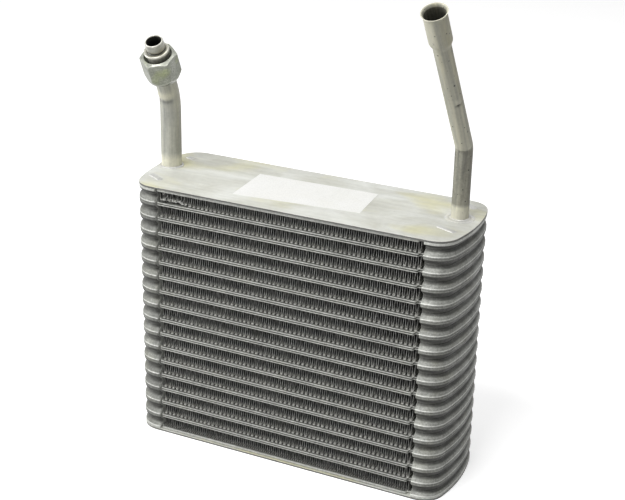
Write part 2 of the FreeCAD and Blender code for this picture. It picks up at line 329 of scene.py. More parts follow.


# What the grain does: how far it moves the line between painted shade, the clouds and painted
# highlight with wear, and its range of shade and of roughness
GRAIN_SHIFT = 0.3
GRAIN_SHADE = (0.88, 1.08)
GRAIN_ROUGHNESS = 0.12


def metal(name, light, dark, stain, metallic, roughness, roughness_spread=0.12, stain_amount=0.3, scale=20.0,
          flow=(1.0, 1.0, 1.0), grain_scale=500.0, grain_height=0.02, stretch=(1.0, 1.0, 1.0), even_share=0.4,
          specks=None, corners=None, edges=None, sheen=0.5, unbent=False):
    """Make a metal with wear and painted light: cloudy colour, drawn grain, specks, and roughness
    that follows them.

    Where corners and edges are given, the colour runs from the corners' colour, painted shade,
    over the clouds to the edges' colour, painted highlight with wear, as the mesh's share of painted
    light and wear goes from 0 to 1. Specks have a share and a colour. With unbent, the patterns
    follow a pipe's line.
    """
    material, tree, shader = new_material(name, Metallic=metallic, Specular_IOR_Level=sheen)
    calc = partial(add_math, tree)
    if unbent:
        place = add_node(tree, "ShaderNodeAttribute", attribute_name="unbent").outputs["Vector"]
    else:
        place = add_node(tree, "ShaderNodeTexCoord").outputs["Object"]
    clouds = add_group(
        tree, cloud_group, Vector=add_vector(tree, "MULTIPLY", place, flow), Scale=scale,
        Light=colour(*light), Dark=colour(*dark), Stain=colour(*stain), Stain_amount=stain_amount,
    )
    grain = add_group(
        tree, grain_group, Vector=place, Stretch=stretch, Scale=grain_scale, Even_share=even_share,
    )
    height = grain.outputs["Height"]
    paint = clouds.outputs["Colour"]
    if specks:
        share, speck = specks
        pits = add_group(tree, speck_group, Vector=place, Scale=grain_scale * 0.5, Share=share)
        paint = add_mix(tree, pits.outputs["Mask"], paint, colour(*speck))
    # Painted light: the corners' colour is painted shade, the edges' colour painted highlight with wear
    if corners:
        bare = add_node(tree, "ShaderNodeAttribute", attribute_name="bare").outputs["Fac"]
        worn_or_lit = calc("MULTIPLY_ADD", height, GRAIN_SHIFT, calc("SUBTRACT", bare, GRAIN_SHIFT / 2))
        paint = add_mix(tree, calc("MULTIPLY", worn_or_lit, 2.0, clamp=True), colour(*corners), paint)
        paint = add_mix(tree, calc("MULTIPLY_ADD", worn_or_lit, 2.0, -1.0, clamp=True), paint, colour(*edges))
    shade = add_range(tree, height, 0.3, 0.7, *GRAIN_SHADE)
    tree.links.new(add_vector(tree, "SCALE", paint, shade), shader.inputs["Base Color"])
    ends = (roughness + roughness_spread, roughness - roughness_spread)
    rough = add_range(tree, clouds.outputs["Mask"], 0.0, 1.0, *ends)
    uneven = calc("MULTIPLY_ADD", height, GRAIN_ROUGHNESS, rough)
    centred = calc("SUBTRACT", uneven, GRAIN_ROUGHNESS / 2, clamp=True)
    tree.links.new(centred, shader.inputs["Roughness"])
    bump = add_node(tree, "ShaderNodeBump", {"Height": height, "Strength": 1.0, "Distance": grain_height * MM})
    tree.links.new(bump.outputs[0], shader.inputs["Normal"])
    return material


# In the metals below, corners is the colour of painted shade and edges that of painted highlight with wear
plate_metal = metal(
    "End plate aluminium", (0.70, 0.71, 0.67), (0.51, 0.51, 0.45), (0.60, 0.58, 0.37),
    metallic=0.12, roughness=0.55, stain_amount=0.85, scale=24.0, stretch=(0.07, 1.0, 1.0), grain_scale=260.0,
    flow=(0.7, 1.3, 1.0), specks=(0.12, (0.42, 0.42, 0.36)),
)
# The plates' sides are painted much darker than their faces: a sheared edge with painted shade
sheared_and_shaded_metal = metal(
    "Sheared plate edge in painted shade", (0.17, 0.17, 0.16), (0.11, 0.11, 0.105), (0.15, 0.14, 0.11),
    metallic=0.3, roughness=0.55, scale=40.0, stretch=(1.0, 1.0, 0.2), grain_scale=900.0,
)
foot_metal = metal(
    "Brazed foot", (0.62, 0.62, 0.59), (0.50, 0.50, 0.48), (0.60, 0.58, 0.44),
    metallic=0.3, roughness=0.5, stain_amount=0.5, scale=80.0, grain_scale=700.0,
    grain_height=0.05, even_share=0.9, corners=(0.36, 0.36, 0.34), edges=(0.70, 0.70, 0.67),
)
# The tube plates' aluminium is painted darker than the end plates' same metal, as painted shade; its corners
# are painted shade in the cups and its edges a painted glint on the rims
tube_metal = metal(
    "Tube plate aluminium", (0.275, 0.28, 0.255), (0.19, 0.193, 0.178), (0.26, 0.255, 0.19),
    metallic=0.12, roughness=0.5, scale=60.0, grain_scale=700.0, even_share=0.7,
    corners=(0.055, 0.055, 0.052), edges=(0.86, 0.87, 0.82), sheen=0.25,
)
# The fin sheet is painted darker than the end plates' same metal, as painted shade, with painted shade in its
# corners between the folds and a painted highlight on its crests; the cut edges' lighter colour is a painted
# highlight
fin_metal = metal(
    "Fin sheet aluminium", (0.28, 0.28, 0.27), (0.13, 0.13, 0.125), (0.24, 0.235, 0.18),
    metallic=0.4, roughness=0.45, scale=90.0, grain_scale=900.0, even_share=0.8,
    corners=(0.045, 0.045, 0.042), edges=(0.88, 0.88, 0.84),
)
fin_edge_metal = metal(
    "Cut fin edge", (0.60, 0.60, 0.57), (0.22, 0.22, 0.205), (0.40, 0.39, 0.31),
    metallic=0.3, roughness=0.4, scale=300.0, grain_scale=900.0, even_share=0.8,
)
liquid_metal = metal(
    "Liquid pipe aluminium", (0.74, 0.72, 0.58), (0.42, 0.42, 0.36), (0.70, 0.66, 0.45),
    metallic=0.1, roughness=0.5, stain_amount=0.6, scale=150.0, stretch=(1.0, 1.0, 0.08),
    specks=(0.3, (0.10, 0.10, 0.09)), flow=(1.0, 1.0, 0.07), sheen=0.2, unbent=True,
    corners=(0.045, 0.045, 0.04), edges=(0.66, 0.64, 0.53),
)
suction_metal = metal(
    "Suction pipe aluminium", (0.55, 0.55, 0.48), (0.29, 0.295, 0.275), (0.50, 0.48, 0.34),
    metallic=0.15, roughness=0.45, stain_amount=0.5, scale=130.0, stretch=(1.0, 1.0, 0.08),
    specks=(0.12, (0.14, 0.14, 0.12)), flow=(1.0, 1.0, 0.06), sheen=0.25, unbent=True,
    corners=(0.045, 0.045, 0.04), edges=(0.76, 0.74, 0.60),
)
machined_metal = metal(
    "Machined pipe end", (0.50, 0.49, 0.41), (0.22, 0.22, 0.19), (0.50, 0.47, 0.33),
    metallic=0.45, roughness=0.3, stain_amount=0.5, scale=70.0, stretch=(0.06, 0.06, 1.0), grain_scale=900.0,
    roughness_spread=0.06, unbent=True,
    corners=(0.05, 0.05, 0.048), edges=(0.62, 0.61, 0.55),
)
zinc_metal = metal(
    "Zinc plating", (0.30, 0.31, 0.27), (0.22, 0.23, 0.19), (0.32, 0.37, 0.14),
    metallic=0.6, roughness=0.36, stain_amount=0.6, scale=55.0, grain_scale=700.0, even_share=0.8,
    corners=(0.015, 0.015, 0.012), edges=(0.66, 0.66, 0.60),
)
label_paper = metal(
    "Label paper", (0.80, 0.80, 0.78), (0.76, 0.76, 0.73), (0.76, 0.75, 0.68),
    metallic=0.0, roughness=0.75, stain_amount=0.2, scale=30.0, grain_scale=1500.0, grain_height=0.01,
    even_share=1.0, roughness_spread=0.03,
)


# Drawn plates

# Steps round a corner of the wall that faces the fins, a corner of the end, and half the crown
WALL_STEPS = 4
CORNER_STEPS = 9
CROWN_STEPS = 4
# Painted light added to the right tank's shares, from this share up, and the least share on the
# wall that faces the fins, painted light where the lamps leave it dark
RIGHT_PAINTED_LIGHT = 0.07
PAINTED_LIGHT_FROM = 0.45
PAINTED_LIGHT_SHARE = 0.75


def tank_points(inset, wall_shift, wall_radius):
    """Points round a tank: its outer end and the wall that faces the fins, with round corners."""
    wall_x = TANK_WALL + wall_shift + wall_radius
    wall_y = HALF_DEPTH - inset - wall_radius
    half = arc(wall_x, wall_y, wall_radius, math.pi, QUARTER, WALL_STEPS)
    half += arc(CORNER_X, CORNER_Y, CORNER_RADIUS - inset, QUARTER, CROWN_TURN, CORNER_STEPS)
    half += arc(CROWN_X, 0.0, CROWN_RADIUS - inset, CROWN_TURN, 0.0, CROWN_STEPS)[1:]
    return half + [(x, -y) for x, y in reversed(half[:-1])]


def tank_loop(side, level, inset, end_inset, wall_shift, wall_radius):
    """One loop round a tank, whose inset changes round the corners from the front's to the end's."""
    front = tank_points(inset, wall_shift, wall_radius)
    end = tank_points(end_inset, wall_shift, wall_radius)
    blend_start = WALL_STEPS + 2
    blend_steps = 4
    points = []
    for index, (near, far) in enumerate(zip(front, end)):
        from_wall = min(index, len(front) - 1 - index)
        share = ease((from_wall - blend_start) / blend_steps)
        x, y = (between(first, last, share) for first, last in zip(near, far))
        points.append(Vector((side * x, y, level)))
    return points


def tank_shares(share, side):
    """Shares of painted light round a tank: the wall that faces the fins gets painted light so it is
    never dark, and the right tank's upper faces get more painted light than the left's."""
    count = len(tank_points(0.0, 0.0, 1.0 * MM))
    if side > 0 and share >= PAINTED_LIGHT_FROM:
        share += RIGHT_PAINTED_LIGHT
    return [max(share, PAINTED_LIGHT_SHARE) if min(index, count - 1 - index) < 2 else share for index in range(count)]


# In mm: height above the seam, inset from the outline at the front and at the end, shift of the
# inner wall and its corner radius; then the share of painted light and wear above the seam and
# below it: painted shade on the walls and undersides, lighter upper slopes, and a painted glint on
# the rims' upper edges
TANK_PROFILE = [
    (0.00, 0.22, 0.22, 0.0, 0.8, 0.12, 0.12), (0.08, 0.18, 0.18, 0.0, 0.8, 0.12, 0.12),
    (0.16, 0.03, 0.03, 0.0, 0.9, 0.45, 0.45), (0.30, 0.0, 0.0, 0.0, 1.0, 0.50, 0.50),
    (1.10, 0.0, 0.0, 0.0, 1.0, 0.52, 0.45), (1.32, 0.05, 0.03, 0.0, 1.0, 0.92, 0.25),
    (1.48, 0.18, 0.06, 0.0, 1.0, 0.92, 0.15), (1.60, 0.38, 0.10, 0.0, 1.1, 0.60, 0.08),
    (2.20, 0.92, 0.20, 0.0, 1.2, 0.50, 0.06), (2.80, 1.42, 0.35, 0.0, 1.3, 0.50, 0.06),
    (3.40, 1.92, 0.60, -0.05, 1.6, 0.50, 0.06), (3.95, 2.36, 1.05, -0.1, 2.2, 0.45, 0.08),
    (4.30, 2.58, 1.50, -0.20, 3.2, 0.34, 0.16), (4.70, 2.72, 2.10, -0.35, 4.0, 0.26, 0.20),
    (5.20, 2.75, 2.60, -0.45, 4.0, 0.22, 0.20), (5.80, 2.75, 2.75, -0.45, 4.0, 0.16, 0.16),
    (5.95, 2.86, 2.86, -0.35, 4.0, 0.0, 0.0), (6.00, 3.00, 3.00, -0.25, 4.0, 0.0, 0.0),
]


def flat_loop(level, inset):
    """One loop round the flat tube between the tanks, with a notch at each neck."""
    outer_round = 1.3 * MM
    inner_round = 0.9 * MM
    lip = LIP_Y - inset
    neck = NECK_Y - inset * 0.5
    root = TANK_WALL + 3.0 * MM
    corners = []
    for lip_end in (RIGHT_LIP_END, LEFT_LIP_END):
        end = lip_end - inset
        corner = [(root, neck)]
        corner += arc(end + inner_round, neck + inner_round, inner_round, -QUARTER, -math.pi, 3)
        corner += arc(end - outer_round, lip - outer_round, outer_round, 0.0, QUARTER, 4)
        corners.append(corner)
    back = corners[0] + [(-x, y) for x, y in reversed(corners[1])]
    front = [(x, -y) for x, y in reversed(back)]
    return [Vector((x, y, level)) for x, y in back + front]


# Height above the seam and inset in mm, then the share of painted light and wear above the seam
# and below it: painted shade in the seam and on the faces towards the fins, and lighter lips with a
# painted highlight on the upper lip's edge
FLAT_PROFILE = [
    (0.00, 0.80, 0.0, 0.0), (0.16, 0.70, 0.0, 0.0), (0.28, 0.15, 0.3, 0.4), (0.42, 0.0, 0.5, 0.7),
    (0.92, 0.0, 0.6, 0.7), (1.10, 0.06, 0.8, 0.4), (1.20, 0.26, 0.7, 0.2), (1.20, 1.30, 0.2, 0.1),
]


def rim_height(height):
    """Height of a row of an end plate of the stack, whose rim is deeper than a tube's."""
    deeper = 0.9
    rim_top = 1.5
    fade = 3.0
    away = abs(height)
    extra = deeper * min(1.0, away) * max(0.0, 1.0 - max(0.0, away - rim_top) / fade)
    return math.copysign(away + extra, height)


def both_sides(profile, low=True, high=True):
    """Mirror a profile about the seam, or keep one side of it, with its own shares of painted light
    and wear; one side alone gets painted light on its rim band.
    """
    upper = [row[:-1] for row in profile]
    lower = [(-row[0],) + row[1:-2] + (row[-1],) for row in reversed(profile)]
    if low and high:
        return lower[:-1] + upper
    rim = []
    for row in lower if low else upper:
        share = PAINTED_LIGHT_SHARE if 0.1 < abs(row[0]) < 1.2 else row[-1]
        rim.append((rim_height(row[0]),) + row[1:-1] + (share,))
    return rim


def make_drawn_plates(name, node, low=True, high=True):
    """Make a tube of two drawn plates, or one end plate of the stack, at its solid's place."""
    box_low, box_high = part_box(node)
    if low and high:
        level = (box_low.z + box_high.z) / 2
    else:
        level = box_high.z if low else box_low.z
    shells = []
    for side in (1, -1):
        rows = both_sides(TANK_PROFILE, low, high)
        loops = [
            tank_loop(side, level + height * MM, inset * MM, end_inset * MM, shift * MM, radius * MM)
            for height, inset, end_inset, shift, radius, _ in rows
        ]
        shells.append(skin(loops, [tank_shares(row[-1], side) for row in rows]))
    rows = both_sides(FLAT_PROFILE, low, high)
    loops = [flat_loop(level + height * MM, inset * MM) for height, inset, _ in rows]
    shells.append(skin(loops, [row[-1] for row in rows]))
    add_piece(name, make_mesh(name, shells, sharp=50.0), [tube_metal], node)


for number in range(1, FIN_ROWS):
    make_drawn_plates("tube_pair_%02d" % number, "tube_%02d" % number)
make_drawn_plates("upper_plate_drawn", "upper_drawn_plate", high=False)
make_drawn_plates("lower_plate_drawn", "lower_drawn_plate", low=False)


# Folded fins

# Grid steps along one fold, and how finely its lean and its crushed patch's tangle vary
FOLD_STEPS = 10.0
RIPPLE_SCALE = (330.0, 22.0, 0.0)
TANGLE_SCALE = 800.0
# The crushed patch is whole near its middle and fades out from there to its reach
CRUSH_SLOPE = 1.8
CRUSH_SQUASH = 0.35
# Share of painted light on the fins' walls, painted shade between the folds; the crests get painted highlight
VALLEY_SHARE = 0.25


def make_fin_tree():
    """Geometry nodes that fold one sheet into a fin: waves along X, sheet thickness, crushed end."""
    tree, given, result = new_group(
        "Folded fin",
        {
            "Folds": ("NodeSocketInt", 60),
            "Steps along the depth": ("NodeSocketInt", 5),
            "Length": (FLOAT, FIN_END * 2),
            "Depth": (FLOAT, FIN_Y * 2),
            "Height": (FLOAT, (HALF_PITCH - HALF_TUBE) * 2),
            "Thickness": (FLOAT, 0.22 * MM),
            "Crest reach": (FLOAT, 0.03),
            "Steepness": (FLOAT, 3.2),
            "Uprightness": (FLOAT, 0.07),
            "Floor width": (FLOAT, 0.38),
            "Unevenness": (FLOAT, 0.22 * MM),
            "Crush": (FLOAT, 0.0),
            "Crush place": (VECTOR, (0.0, 0.0, 0.0)),
            "Crush reach": (FLOAT, 17.0 * MM),
            "Level": (FLOAT, 0.0),
            "Seed": (FLOAT, 0.0),
            "Metal": "NodeSocketMaterial",
            "Edge metal": "NodeSocketMaterial",
        },
        {"Geometry": "NodeSocketGeometry"},
        kind="GeometryNodeTree",
    )
    put = partial(add_node, tree)
    calc = partial(add_math, tree)
    times = partial(add_math, tree, "MULTIPLY")
    steps = calc("MULTIPLY_ADD", given["Folds"], FOLD_STEPS, 1.0)
    sheet = put("GeometryNodeMeshGrid", {
        "Size X": given["Length"], "Size Y": given["Depth"],
        "Vertices X": steps, "Vertices Y": given["Steps along the depth"],
    })
    place = put("GeometryNodeInputPosition").outputs[0]
    split = put("ShaderNodeSeparateXYZ", {0: place}).outputs

    # The wave, flattened at its crests, with its walls brought upright
    turns = times(calc("DIVIDE", split[0], given["Length"]), given["Folds"])
    wave = calc("SUBTRACT", calc("COSINE", times(turns, math.tau)), given["Floor width"])
    twice = calc("SINE", times(turns, math.tau * 2.0))
    fold_pitch = calc("DIVIDE", given["Length"], given["Folds"])
    upright = times(twice, times(fold_pitch, given["Uprightness"]))
    steep = calc("TANH", times(wave, given["Steepness"]))
    full = calc("DIVIDE", steep, calc("TANH", given["Steepness"]))
    full = calc("MINIMUM", calc("MAXIMUM", full, -1.0), 1.0)
    crest = add_range(tree, calc("ABSOLUTE", full), 0.90, 0.98)
    inside = calc("SUBTRACT", times(given["Height"], 0.5), given["Thickness"])
    height = times(full, inside)
    outward = times(split[1], times(crest, given["Crest reach"]))

    # The walls' uneven lean, which leaves the crests in place
    seeded = put("ShaderNodeCombineXYZ", {0: given["Seed"], 1: 0.0, 2: given["Seed"]}).outputs[0]
    spot = add_vector(tree, "ADD", add_vector(tree, "MULTIPLY", place, RIPPLE_SCALE), seeded)
    ripple = calc("SUBTRACT", add_noise(tree, spot, 1.0, 1.0)[0], 0.5)
    lean = times(ripple, times(given["Unevenness"], 4.0))
    free = calc("SUBTRACT", 1.0, calc("POWER", full, 4.0))
    lean = calc("MULTIPLY_ADD", lean, free, upright)

    # The crushed patch
    away = put("ShaderNodeVectorMath", {0: place, 1: given["Crush place"]}, operation="DISTANCE")
    reached = calc("DIVIDE", away.outputs["Value"], given["Crush reach"])
    near = calc("MULTIPLY_ADD", reached, -CRUSH_SLOPE, CRUSH_SLOPE, clamp=True)
    tangle = add_noise(tree, add_vector(tree, "SCALE", place, TANGLE_SCALE), 1.0, 3.0, Roughness=0.7)
    middle = add_vector(tree, "SUBTRACT", tangle["Color"], (0.5, 0.5, 0.5))
    tangled = add_vector(tree, "SCALE", middle, times(near, given["Crush"]))
    squashed = times(height, calc("MULTIPLY_ADD", near, -CRUSH_SQUASH, 1.0))

    # Painted light: highlight on the crests, shade on the walls between them, and the crushed patch a little
    # lighter
    bare = calc("MULTIPLY_ADD", crest, 1.0 - VALLEY_SHARE, VALLEY_SHARE)
    bare = calc("ADD", bare, times(near, 0.1), clamp=True)
    grid = put("GeometryNodeStoreNamedAttribute", {
        "Geometry": sheet.outputs["Mesh"], "Name": "bare", "Value": bare,
    }, data_type="FLOAT", domain="POINT")
    raised = calc("ADD", squashed, given["Level"])
    shift = put("ShaderNodeCombineXYZ", {0: lean, 1: outward, 2: raised})
    offset = add_vector(tree, "ADD", shift.outputs[0], tangled)
    folded = put("GeometryNodeSetPosition", {"Geometry": grid.outputs[0], "Offset": offset})
    thick = put("GeometryNodeExtrudeMesh", {
        "Mesh": folded.outputs[0], "Offset Scale": given["Thickness"], "Individual": False,
    }, mode="FACES")
    under = put("GeometryNodeFlipFaces", {"Mesh": folded.outputs[0]})
    joined = tree.nodes.new("GeometryNodeJoinGeometry")
    tree.links.new(thick.outputs["Mesh"], joined.inputs[0])
    tree.links.new(under.outputs[0], joined.inputs[0])
    merged = put("GeometryNodeMergeByDistance", {"Geometry": joined.outputs[0], "Distance": 1e-6})
    real = put("GeometryNodeRealizeInstances", {"Geometry": merged.outputs[0]})
    dressed = put("GeometryNodeSetMaterial", {"Geometry": real.outputs[0], "Material": given["Metal"]})
    edged = put("GeometryNodeSetMaterial", {
        "Geometry": dressed.outputs[0], "Selection": thick.outputs["Side"], "Material": given["Edge metal"],
    })
    tree.links.new(edged.outputs[0], result[0])
    return tree


def run_tree(name, tree, values):
    """Run a geometry tree with named values and return its mesh."""
    carrier = add_object(name, bpy.data.meshes.new(name))
    modifier = carrier.modifiers.new(name, "NODES")
    modifier.node_group = tree
    names = {item.name: item.identifier for item in tree.interface.items_tree if item.in_out == "INPUT"}
    for key, value in values.items():
        modifier[names[key]] = value
    graph = bpy.context.evaluated_depsgraph_get()
    mesh = bpy.data.meshes.new_from_object(
        carrier.evaluated_get(graph), preserve_all_data_layers=True, depsgraph=graph,
    )
    carrier.modifiers.remove(modifier)
    bpy.data.objects.remove(carrier)
    mesh.name = name
    return mesh


fin_tree = make_fin_tree()
crumpled = {"Steps along the depth": 61, "Crush": 11.0 * MM, "Crush place": (-94.0 * MM, -FIN_Y, 0.0)}
for number in range(1, FIN_ROWS + 1):
    name = "fin_sheet_%02d" % number
    node = "fin_row_%02d" % number
    low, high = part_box(node)
    values = {
        "Metal": fin_metal, "Edge metal": fin_edge_metal,
        "Seed": float(number * 7), "Level": (low.z + high.z) / 2,
    }
    if number == 1:
        values.update(crumpled)
    mesh = run_tree(name, fin_tree, values)
    smooth(mesh, 60.0)
    add_piece(name, mesh, [fin_metal, fin_edge_metal], node)


# Flat end plates

OUTLINE_STEPS = 12
HOLE_POINTS = 48


def outline():
    """The whole outline of a plate, anticlockwise seen from above."""
    half_end = arc(CORNER_X, -CORNER_Y, CORNER_RADIUS, -QUARTER, -CROWN_TURN, OUTLINE_STEPS)
    half_end += arc(CROWN_X, 0.0, CROWN_RADIUS, -CROWN_TURN, CROWN_TURN, OUTLINE_STEPS)[1:]
    half_end += arc(CORNER_X, CORNER_Y, CORNER_RADIUS, CROWN_TURN, QUARTER, OUTLINE_STEPS)[1:]
    return half_end + [(-x, -y) for x, y in half_end]


def make_flat_plate(name, node, holes):
    """Make a flat plate with softened edges and a hole for each pipe, from a filled curve."""
    edge = 0.25 * MM
    low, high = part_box(node)
    curve = bpy.data.curves.new(name, "CURVE")
    curve.dimensions = "2D"
    curve.fill_mode = "BOTH"
    curve.extrude = (high.z - low.z) / 2 - edge
    curve.bevel_depth = edge
    curve.bevel_resolution = 2
    curve.offset = -edge
    loops = [outline()] + [circle(x, y, radius, HOLE_POINTS) for x, y, radius in holes]
    for loop in loops:
        spline = curve.splines.new("POLY")
        spline.points.add(len(loop) - 1)
        spline.use_cyclic_u = True
        for point, (x, y) in zip(spline.points, loop):
            point.co = (x, y, 0.0, 1.0)
    flat = add_object(name, curve)
    mesh = bpy.data.meshes.new_from_object(flat)
    bpy.data.objects.remove(flat)
    mesh.transform(Matrix.Translation((0.0, 0.0, (low.z + high.z) / 2)))
    close_seams(mesh)
    smooth(mesh, 35.0)
    # Faces that stand upright take the dark edge metal, painted shade on the plates' sides
    for face in mesh.polygons:
        face.material_index = 1 if abs(face.normal.z) < 0.5 else 0
    add_piece(name, mesh, [plate_metal, sheared_and_shaded_metal], node)


# Pipes

class PipeLine:
    """A pipe's line: upright from the end plate, one bend, then straight and leaning forward."""

    def __init__(self, foot_x, elbow_height, bend, lean, swing, reach):
        self.foot = Vector((foot_x, PIPE_LINE, CORE_TOP - PLATE_THICKNESS))
        self.lean = math.radians(lean)
        self.swing = Matrix.Rotation(math.radians(swing), 3, "Z")
        self.bend = bend
        self.tangent = bend * math.tan(self.lean / 2)
        self.elbow = PLATE_THICKNESS + elbow_height
        self.bend_start = self.elbow - self.tangent
        self.bend_end = self.bend_start + bend * self.lean
        self.end = self.past_elbow(reach)

    def past_elbow(self, distance):
        """Length along the line to a point this far past the elbow."""
        return self.bend_end + distance - self.tangent

    def frame_at(self, length):
        """Point and direction at a length along the line."""
        if length <= self.bend_start:
            point, angle = Vector((0.0, 0.0, length)), 0.0
        elif length <= self.bend_end:
            angle = (length - self.bend_start) / self.bend
            rise = self.bend_start + self.bend * math.sin(angle)
            point = Vector((0.0, self.bend * (math.cos(angle) - 1), rise))
        else:
            angle = self.lean
            past = length - self.bend_end + self.tangent
            point = Vector((0.0, -past * math.sin(angle), self.elbow + past * math.cos(angle)))
        direction = Vector((0.0, -math.sin(angle), math.cos(angle)))
        return self.foot + self.swing @ point, self.swing @ direction

    def loop(self, length, radii):
        """A ring of points round the line, each at its own radius."""
        centre, direction = self.frame_at(length)
        side = self.swing @ Vector((1.0, 0.0, 0.0))
        front = direction.cross(side)
        return [
            centre + side * (radius * math.cos(angle)) + front * (radius * math.sin(angle))
            for angle, radius in zip(RING_ANGLES, radii)
        ]


def unbent_ring(length, radius):
    """A ring of places on a pipe as if its line were straight."""
    return [(x, y, length) for x, y in circle(0.0, 0.0, radius)]


def spread(first, last, step):
    """Values from first to last in even steps no longer than step."""
    count = max(1, math.ceil(abs(last - first) / step))
    return [first + (last - first) * index / count for index in range(count + 1)]


RING_ANGLES = [math.tau * index / RING_POINTS for index in range(RING_POINTS)]
liquid = PipeLine(
    foot_x=114.9 * MM, elbow_height=53.3 * MM, bend=12.0 * MM, lean=29.2, swing=-5.6, reach=121.0 * MM,
)
suction = PipeLine(
    foot_x=-121.5 * MM, elbow_height=54.8 * MM, bend=45.0 * MM, lean=27.8, swing=5.0, reach=55.4 * MM,
)

CREASE_WIDTH = 2.0 * MM
# How far the braze has run up a pipe's foot, and the length over which the shade changes
BRAZE_HEIGHT = 12.0 * MM
BRAZE_FADE = 6.0 * MM
BRAZE_SHARE = 0.9


def turn_from(angle, direction):
    """Angle from a direction, between minus and plus half a turn."""
    return (angle - direction + math.pi) % math.tau - math.pi


def crease(length, angle, place, direction, bow, depth, painted_light):
    """What a bowed tool mark inside a bend adds to a point's radius and to its share of painted light:
    a groove painted dark as shade, and a soft swelling above it with a painted highlight."""
    turn = turn_from(angle, direction)
    facing = max(0.0, math.cos(turn * 1.1)) if abs(turn) < 1.4 else 0.0
    away = (length - place - bow * turn * turn) / CREASE_WIDTH
    groove = math.exp(-away * away)
    rise = 0.6 * math.exp(-(away - 2.2) ** 2 / 3.0) - groove
    light_and_shade = 0.5 * math.exp(-(away - 3.2) ** 2 / 4.5) - 0.3 * groove
    return facing * rise * depth, facing * light_and_shade * painted_light


def swelling(along, across, length, width):
    """A round swelling of height 1 with this length and width."""
    return math.exp(-(along / length) ** 2 - (across / width) ** 2)


liquid_crease = partial(
    crease, place=liquid.bend_start + 2.0 * MM, direction=-1.1, bow=1.5 * MM, depth=0.4 * MM, painted_light=0.5,
)
suction_crease = partial(
    crease, place=suction.bend_start + 10.5 * MM, direction=-1.65, bow=2.0 * MM, depth=0.7 * MM, painted_light=1.0,
)


def liquid_marks(length, angle):
    """The liquid pipe's crease, with a small raised burr above the bend and the nick below it; the
    burr has a painted highlight and the nick painted shade.
    """
    rise, painted_light = liquid_crease(length, angle)
    across = turn_from(angle, -0.6) * LIQUID_RADIUS
    past = length - liquid.past_elbow(45.4 * MM)
    burr = swelling(past - 1.4 * MM, across, 1.7 * MM, 1.8 * MM)
    gap = swelling(past + 1.6 * MM, across, 1.0 * MM, 2.2 * MM)
    return rise + 0.9 * MM * (burr - gap), painted_light + 0.4 * burr - 0.5 * gap


def foot_share(length, line, low, high):
    """Bright share along a pipe: light where the braze has run up its foot, then low up to the bend
    and high above the bend."""
    height = length - PLATE_THICKNESS
    if height < BRAZE_HEIGHT:
        faded = max(0.0, height - BRAZE_HEIGHT + BRAZE_FADE) / BRAZE_FADE
        return max(low, between(BRAZE_SHARE, low, faded))
    past = min(1.0, max(0.0, (length - line.bend_start) / BRAZE_FADE))
    return between(low, high, past)


class PipeSkin:
    """The rings of a hollow pipe, in order up its outside and back down its inside."""

    def __init__(self, line):
        self.line = line
        self.loops = []
        self.bare = []
        self.places = []

    def add(self, length, size, share, marks=None):
        """Add a ring; marks may add to the radius and to the share of painted light and wear of each point."""
        marks = marks or [(0.0, 0.0)] * RING_POINTS
        self.loops.append(self.line.loop(length, [size + rise for rise, _ in marks]))
        self.bare.append([share + painted_light for _, painted_light in marks])
        self.places += unbent_ring(length, size)

    def add_rows(self, start, rows):
        """Add rings from rows of a distance past the start in mm, a radius and a share of painted light and
        wear.
        """
        for past, size, share in rows:
            self.add(start + past * MM, size, share)

    def add_outside(self, end, radius, low, high, marks):
        """Add the outside from the foot up to a length, with its marks and shares of painted light and wear.
        """
        for length in spread(0.0, end, 0.8 * MM):
            share = foot_share(length, self.line, low, high)
            self.add(length, radius, share, [marks(length, angle) for angle in RING_ANGLES])

    def add_bore(self, start, radius):
        """Add the inside from a length back to the foot."""
        for length in spread(start, 0.0, 3.0 * MM)[1:]:
            self.add(length, radius, 0.0)

    def finish(self, name, sharp=40.0):
        """Join the rings into the pipe's mesh."""
        return make_mesh(name, [skin(self.loops, self.bare, ring=True)], sharp, self.places)


def make_liquid_pipe():
    """Thin pipe with its foot, bend, bell and flared lip, hollow all the way."""
    wall = 1.1 * MM
    bell = 8.15 * MM
    bell_wall = 0.7 * MM
    softened = 0.12 * MM
    taper = liquid.past_elbow(92.0 * MM)
    full = liquid.past_elbow(98.0 * MM)
    lip = liquid.end - 3.4 * MM
    lip_steps = 7
    flare = [1.1 * MM * (step / lip_steps) ** 2.4 for step in range(lip_steps + 1)]
    pipe = PipeSkin(liquid)
    pipe.add_outside(taper, LIQUID_RADIUS, 0.21, 0.52, liquid_marks)
    for length in spread(taper, full, 0.6 * MM)[1:]:
        share = (length - taper) / (full - taper)
        pipe.add(length, between(LIQUID_RADIUS, bell, ease(share)), 0.62)
    for length in spread(full, lip, 4.0 * MM)[1:]:
        pipe.add(length, bell, 0.6)
    for step in range(1, lip_steps + 1):
        pipe.add(between(lip, liquid.end, step / lip_steps), bell + flare[step], 0.6)
    # Painted highlight on the lip's rim, and painted shade inside the bell, darker towards the bore
    pipe.add(liquid.end, bell + flare[-1] - softened, 0.9)
    pipe.add(liquid.end, bell + flare[-1] - bell_wall + softened, 0.9)
    for step in reversed(range(lip_steps)):
        share = 0.36 if step > 2 else 0.12
        pipe.add(between(lip, liquid.end, step / lip_steps), bell - bell_wall + flare[step], share)
    for length in spread(lip, full, 6.0 * MM)[1:]:
        pipe.add(length, bell - bell_wall, 0.08)
    for length in spread(full, taper, 1.5 * MM)[1:]:
        share = (length - taper) / (full - taper)
        pipe.add(length, between(LIQUID_RADIUS - wall, bell - bell_wall, share), 0.0)
    pipe.add_bore(taper, LIQUID_RADIUS - wall)
    return pipe.finish("liquid_tube")


